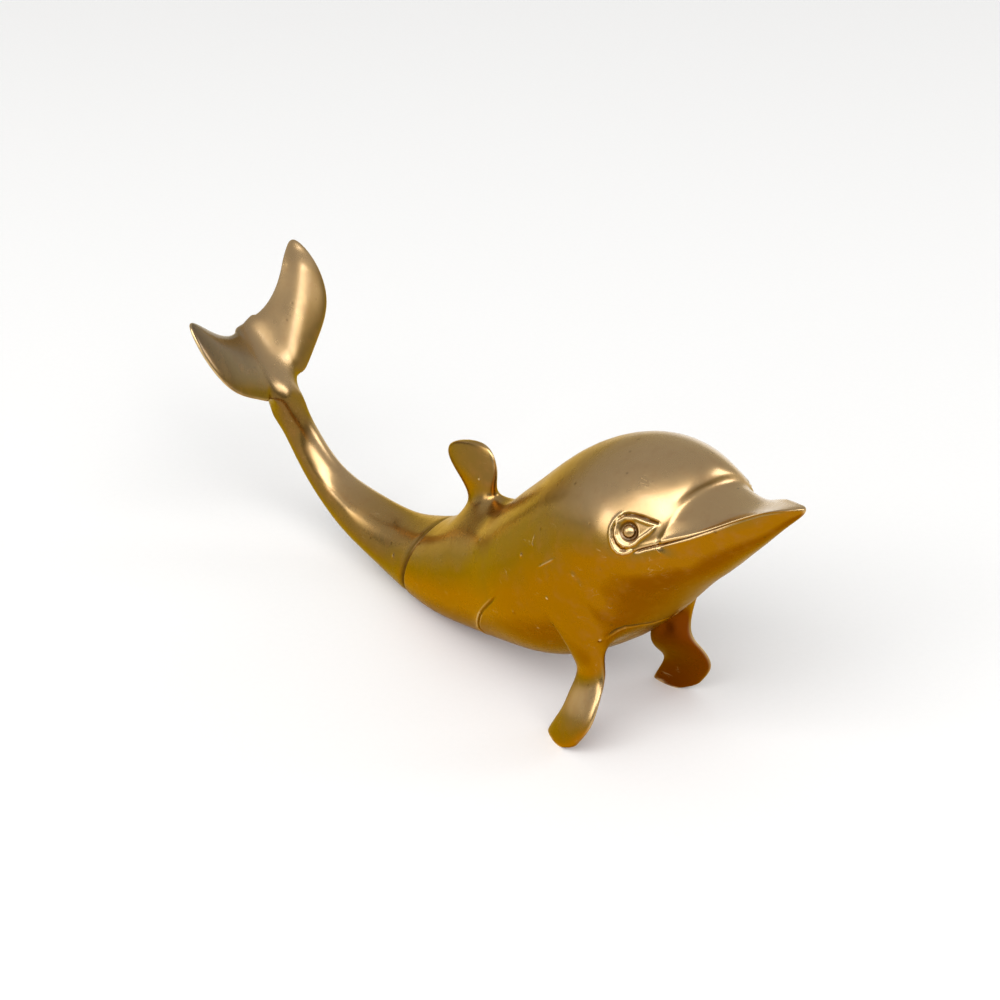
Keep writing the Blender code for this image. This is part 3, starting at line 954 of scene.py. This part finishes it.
def pits_group():
    """Small round pits of the casting, in some cells of a cell pattern only."""
    group, entry, leave = new_group(
        "cast_pits", (("Vector", "NodeSocketVector", None), ("Scale", "NodeSocketFloat", 500.0),
                      ("Share", "NodeSocketFloat", 0.2)),
        (("Pit", "NodeSocketFloat"),))
    cells = group.nodes.new("ShaderNodeTexVoronoi")
    group.links.new(entry.outputs["Vector"], cells.inputs["Vector"])
    group.links.new(entry.outputs["Scale"], cells.inputs["Scale"])
    parts = group.nodes.new("ShaderNodeSeparateColor")
    group.links.new(cells.outputs["Color"], parts.inputs["Color"])
    chosen = calculate(group, "LESS_THAN", parts.outputs[0], entry.outputs["Share"])
    size = spread(group, parts.outputs[1], 0.0, 1.0, 0.10, 0.30)
    depth = calculate(group, "SUBTRACT", 1.0,
                      calculate(group, "MINIMUM",
                                calculate(group, "DIVIDE", cells.outputs["Distance"], size), 1.0))
    group.links.new(times(group, chosen, depth), leave.inputs["Pit"])
    return group


def scratches_group():
    """Fine scratches: long thin streaks of stretched noise that come and go."""
    group, entry, leave = new_group(
        "fine_scratches", (("Vector", "NodeSocketVector", None),
                           ("Scale", "NodeSocketFloat", 120.0)),
        (("Scratch", "NodeSocketFloat"),))
    total = None
    turns = ((0.3, 0.9, 0.2), (-0.5, 0.1, 1.1), (0.9, -0.4, 0.5))
    for number, turn in enumerate(turns):
        mapping = group.nodes.new("ShaderNodeMapping")
        mapping.inputs["Rotation"].default_value = turn
        mapping.inputs["Scale"].default_value = (0.35, 9.0, 9.0)
        group.links.new(entry.outputs["Vector"], mapping.inputs["Vector"])
        streak = group.nodes.new("ShaderNodeTexNoise")
        streak.inputs["Detail"].default_value = 1.0
        group.links.new(mapping.outputs["Vector"], streak.inputs["Vector"])
        group.links.new(entry.outputs["Scale"], streak.inputs["Scale"])
        line = spread(group, calculate(group, "ABSOLUTE",
                                       calculate(group, "SUBTRACT", streak.outputs["Fac"], 0.5)),
                      0.012, 0.0)
        place = noise(group, entry.outputs["Vector"], 180.0 + 60 * number, 1.0)
        line = times(group, line, spread(group, place, 0.64, 0.74))
        total = line if total is None else greater(group, total, line)
    group.links.new(total, leave.inputs["Scratch"])
    return group


def place_group(tree, group, vector, **values):
    """Place a node group in a material, with its own values."""
    node = tree.nodes.new("ShaderNodeGroup")
    node.node_tree = group
    tree.links.new(vector, node.inputs["Vector"])
    for label, value in values.items():
        node.inputs[label].default_value = value
    return node.outputs[0]


def attribute(tree, name):
    """A number kept on the mesh's corners."""
    node = tree.nodes.new("ShaderNodeAttribute")
    node.attribute_name = name
    return node.outputs["Fac"]


def colour_stops(tree, value, stops):
    """A colour ramp through stops of place and colour. Returns its colour."""
    node = tree.nodes.new("ShaderNodeValToRGB")
    tree.links.new(value, node.inputs["Fac"])
    elements = node.color_ramp.elements
    while len(elements) < len(stops):
        elements.new(0.5)
    for element, (at, colour) in zip(elements, stops):
        element.position = at
        element.color = (*colour, 1)
    return node.outputs["Color"]


def brass_masks(tree, spot, facing, cloud):
    """Where the brass is handled and gets a painted highlight, and where painted shade darkens the
    tail, the fin and the right lobe: by place and by which way it faces.
    """
    drift = calculate(tree, "MULTIPLY_ADD", cloud, 0.012, -0.006)
    ahead = calculate(tree, "ADD", spot["X"], drift)
    upward = spread(tree, facing["Z"], 0.30, 0.62)
    ends = greater(tree, spread(tree, ahead, 0.040, 0.057), spread(tree, ahead, -0.016, -0.034))
    # Rubbed brass and a painted highlight: the upward faces at the head and at the tail's end
    handled_and_highlight = times(tree, ends, upward)
    # Duller brass and painted shade: the fin, and the tail's faces that do not face up
    fin = times(tree, spread(tree, spot["Z"], 0.029, 0.033),
                spread(tree, spot["X"], 0.018, 0.014))
    behind = greater(tree, fin, spread(tree, ahead, -0.003, -0.009))
    behind = times(tree, behind, calculate(tree, "SUBTRACT", 1.0, upward))
    # Painted shade on the right lobe of the fluke
    lobe = times(tree, spread(tree, ahead, -0.030, -0.036),
                 spread(tree, spot["Y"], -0.008, -0.018))
    return handled_and_highlight, behind, lobe


def brass_material(finish, pits, scratches):
    """Aged brass: pale where it is rubbed, with a painted highlight on the upward faces of the head
    and tail; orange lacquer on the flanks; brown in the hollows from dirt and painted shade;
    painted shade underneath, on the shoulders, on the tail's sides and fin, and on the right lobe.
    """
    material = bpy.data.materials.new("aged_brass")
    material.use_nodes = True
    tree = material.node_tree
    shader = tree.nodes["Principled BSDF"]
    shader.inputs["Metallic"].default_value = 1.0
    shader.inputs["Specular Tint"].default_value = EDGE_TINT
    shader.inputs["Coat Roughness"].default_value = COAT_ROUGHNESS
    place = tree.nodes.new("ShaderNodeTexCoord")
    where = place.outputs["Object"]
    facing = axes(tree, place.outputs["Normal"])
    spot = axes(tree, where)
    cloud = noise(tree, where, 70.0, 5.0, 0.6, 0.4)
    mottle = noise(tree, where, 420.0, 4.0, 0.6)
    grain = noise(tree, where, 2600.0, 3.0, 0.6)
    pit = place_group(tree, pits, where, Scale=PIT_SCALE, Share=PIT_SHARE)
    scratch = place_group(tree, scratches, where, Scale=SCRATCH_SCALE)
    handled_and_highlight, behind, lobe = brass_masks(tree, spot, facing, cloud)
    # Dirt and painted shade in the carved recesses and the hollows
    dirt_and_shade = greater(tree, attribute(tree, "recess"), times(tree, attribute(tree, "hollow"), 0.3))
    dirt_and_shade = times(tree, dirt_and_shade, spread(tree, mottle, 0.2, 0.6, 0.65, 1.0))
    worn = times(tree, attribute(tree, "wear"), spread(tree, cloud, 0.3, 0.6, 0.35, 1.0))

    shift = times(tree, calculate(tree, "SUBTRACT", cloud, 0.5), 0.35)
    level = calculate(tree, "ADD", facing["Z"], shift)
    # Painted shade by which way the surface faces: darker below and in a band on the shoulders
    colour = colour_stops(tree, calculate(tree, "MULTIPLY_ADD", level, 0.5, 0.5),
                          [(at, getattr(finish, name)) for at, name in TINT_AND_SHADE_STOPS])
    for factor, name in (
            # Painted shade: duller brass darkened on the tail's sides and the fin
            # Rubbed brass and a painted highlight on the upward faces of the head and tail
            (handled_and_highlight, "rubbed_and_highlight"), (times(tree, behind, 0.85), "tail"),
            # Painted shade on the right lobe
            (times(tree, lobe, 0.9), "lobe_shade"),
            (spread(tree, mottle, 0.45, 0.80, 0.0, 0.25), "copper"),
            # Painted shade under the jaw and inside the flippers, in the tarnish colour
            (times(tree, attribute(tree, "shelter"), 0.95), "tarnish_and_shade"),
            # Dirt and painted shade in the recesses and hollows; below, in the pits too
            (dirt_and_shade, "dirt_and_shade"), (times(tree, worn, 0.75), "edges"),
            (times(tree, scratch, 0.30), "edges"), (times(tree, pit, 0.8), "dirt_and_shade")):
        colour = blend_colours(tree, factor, colour, tuple(getattr(finish, name)))
    tree.links.new(colour, shader.inputs["Base Color"])
    tree.links.new(handled_and_highlight, shader.inputs["Coat Weight"])

    rough = spread(tree, cloud, 0.25, 0.75, finish.roughness - 0.05, finish.roughness + 0.06)
    rough = calculate(tree, "ADD", rough, spread(tree, mottle, 0.3, 0.7, -0.02, 0.03))
    rough = calculate(tree, "ADD", rough, times(tree, dirt_and_shade, 0.2))
    rough = calculate(tree, "SUBTRACT", rough, times(tree, worn, 0.06))
    tree.links.new(rough, shader.inputs["Roughness"])

    height = calculate(tree, "SUBTRACT", times(tree, grain, 0.06),
                       calculate(tree, "ADD", pit, times(tree, scratch, 0.25)))
    height = calculate(tree, "ADD", height, times(tree, mottle, 0.25))
    bump = tree.nodes.new("ShaderNodeBump")
    bump.inputs["Strength"].default_value = BUMP_STRENGTH
    bump.inputs["Distance"].default_value = BUMP_DISTANCE
    tree.links.new(height, bump.inputs["Height"])
    tree.links.new(bump.outputs["Normal"], shader.inputs["Normal"])
    return material


class DOLPHIN_OT_casting(bpy.types.Operator):
    """Model the casting: body, head, fins, flippers and fluke"""

    bl_idname = "dolphin.casting"
    bl_label = "Casting"

    def execute(self, context):
        sizes = context.scene.dolphin_sizes
        finish = context.scene.dolphin_finish
        figure, fine = cast_figure(sizes)
        flatten_feet(figure)
        refine(figure, fine, sizes)
        soften(figure)
        carve(figure, fine, sizes)
        note_wear(figure)
        bpy.ops.object.shade_smooth_by_angle(angle=radians(SMOOTH_ANGLE))
        figure.data.materials.append(brass_material(finish, pits_group(), scratches_group()))
        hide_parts("dolphin")
        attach(figure, "root")
        return {"FINISHED"}


def place_light(name, azimuth, elevation, distance, size, brightness, colour):
    """A soft area light in a direction from the figure, evenly bright over its face."""
    turn, rise = radians(azimuth), radians(elevation)
    way = Vector((cos(rise) * cos(turn), cos(rise) * sin(turn), sin(rise)))
    aim = Vector(LIGHT_TARGET)
    place = aim + way * distance
    bpy.ops.object.light_add(type="AREA", location=place)
    lamp = bpy.context.object
    lamp.name = name
    lamp.rotation_euler = (aim - place).to_track_quat("-Z", "Y").to_euler()
    lamp.data.shape = "RECTANGLE"
    lamp.data.size, lamp.data.size_y = size
    lamp.data.energy = brightness * pi * size[0] * size[1]
    lamp.data.color = colour
    lamp.visible_camera = False


def studio_world(settings):
    """A plain grey surround."""
    world = bpy.data.worlds.new("studio")
    world.use_nodes = True
    background = world.node_tree.nodes["Background"]
    background.inputs["Color"].default_value = (1, 1, 1, 1)
    background.inputs["Strength"].default_value = settings.surround
    bpy.context.scene.world = world


def floor_material():
    """White paper, lifted to white for the camera and in reflections."""
    material = bpy.data.materials.new("white_floor")
    material.use_nodes = True
    tree = material.node_tree
    shader = tree.nodes["Principled BSDF"]
    shader.inputs["Roughness"].default_value = 0.9
    shader.inputs["Specular IOR Level"].default_value = 0.1
    place = tree.nodes.new("ShaderNodeTexCoord")
    fibre = noise(tree, place.outputs["Object"], 900.0, 3.0)
    dark, pale = FLOOR_GREYS
    tree.links.new(blend_colours(tree, fibre, (dark,) * 3, (pale,) * 3),
                   shader.inputs["Base Color"])
    path = tree.nodes.new("ShaderNodeLightPath")
    seen = greater(tree, path.outputs["Is Camera Ray"], path.outputs["Is Glossy Ray"])
    seen = greater(tree, seen, path.outputs["Is Transmission Ray"])
    tree.links.new(times(tree, seen, FLOOR_LIFT), shader.inputs["Emission Strength"])
    shader.inputs["Emission Color"].default_value = (1, 1, 1, 1)
    return material


class DOLPHIN_OT_stage(bpy.types.Operator):
    """Set up the floor, the lights and the camera"""

    bl_idname = "dolphin.stage"
    bl_label = "Stage"

    def execute(self, context):
        settings = context.scene.dolphin_stage
        bpy.ops.object.select_all(action="DESELECT")
        bpy.ops.mesh.primitive_grid_add(
            x_subdivisions=8, y_subdivisions=8, size=settings.floor_size)
        floor = bpy.context.object
        floor.name = "floor"
        floor.data.materials.append(floor_material())
        studio_world(settings)
        for light in LIGHTS:
            place_light(*light)
        bpy.ops.object.camera_add()
        camera = bpy.context.object
        camera.name = "photo_camera"
        back = Vector((cos(settings.elevation) * cos(settings.azimuth),
                       -cos(settings.elevation) * sin(settings.azimuth),
                       sin(settings.elevation)))
        camera.location = Vector(CAMERA_TARGET) + back * settings.distance
        camera.rotation_euler = back.to_track_quat("Z", "Y").to_euler()
        camera.data.lens = settings.lens
        camera.data.sensor_width = CAMERA_SENSOR
        context.scene.camera = camera
        context.scene.view_settings.view_transform = "Standard"
        return {"FINISHED"}


class DOLPHIN_PT_panel(bpy.types.Panel):
    """The steps of the model"""

    bl_idname = "DOLPHIN_PT_panel"
    bl_label = "Dolphin figurine"
    bl_space_type = "VIEW_3D"
    bl_region_type = "UI"
    bl_category = "Dolphin"

    def draw(self, context):
        layout = self.layout
        for group in (context.scene.dolphin_sizes, context.scene.dolphin_finish,
                      context.scene.dolphin_stage):
            for name in group.__annotations__:
                layout.prop(group, name)
        for operator in (DOLPHIN_OT_casting, DOLPHIN_OT_stage):
            layout.operator(operator.bl_idname)


CLASSES = (DolphinSizes, DolphinFinish, DolphinStage, DOLPHIN_OT_casting, DOLPHIN_OT_stage,
           DOLPHIN_PT_panel)


def register():
    """Register the classes and the settings."""
    for cls in CLASSES:
        bpy.utils.register_class(cls)
    bpy.types.Scene.dolphin_sizes = bpy.props.PointerProperty(type=DolphinSizes)
    bpy.types.Scene.dolphin_finish = bpy.props.PointerProperty(type=DolphinFinish)
    bpy.types.Scene.dolphin_stage = bpy.props.PointerProperty(type=DolphinStage)


def unregister():
    """Remove the settings and the classes."""
    del bpy.types.Scene.dolphin_stage
    del bpy.types.Scene.dolphin_finish
    del bpy.types.Scene.dolphin_sizes
    for cls in reversed(CLASSES):
        bpy.utils.unregister_class(cls)


def main():
    """Build the figurine and its stage."""
    register()
    bpy.ops.dolphin.casting()
    bpy.ops.dolphin.stage()


if __name__ == "__main__":
    main()
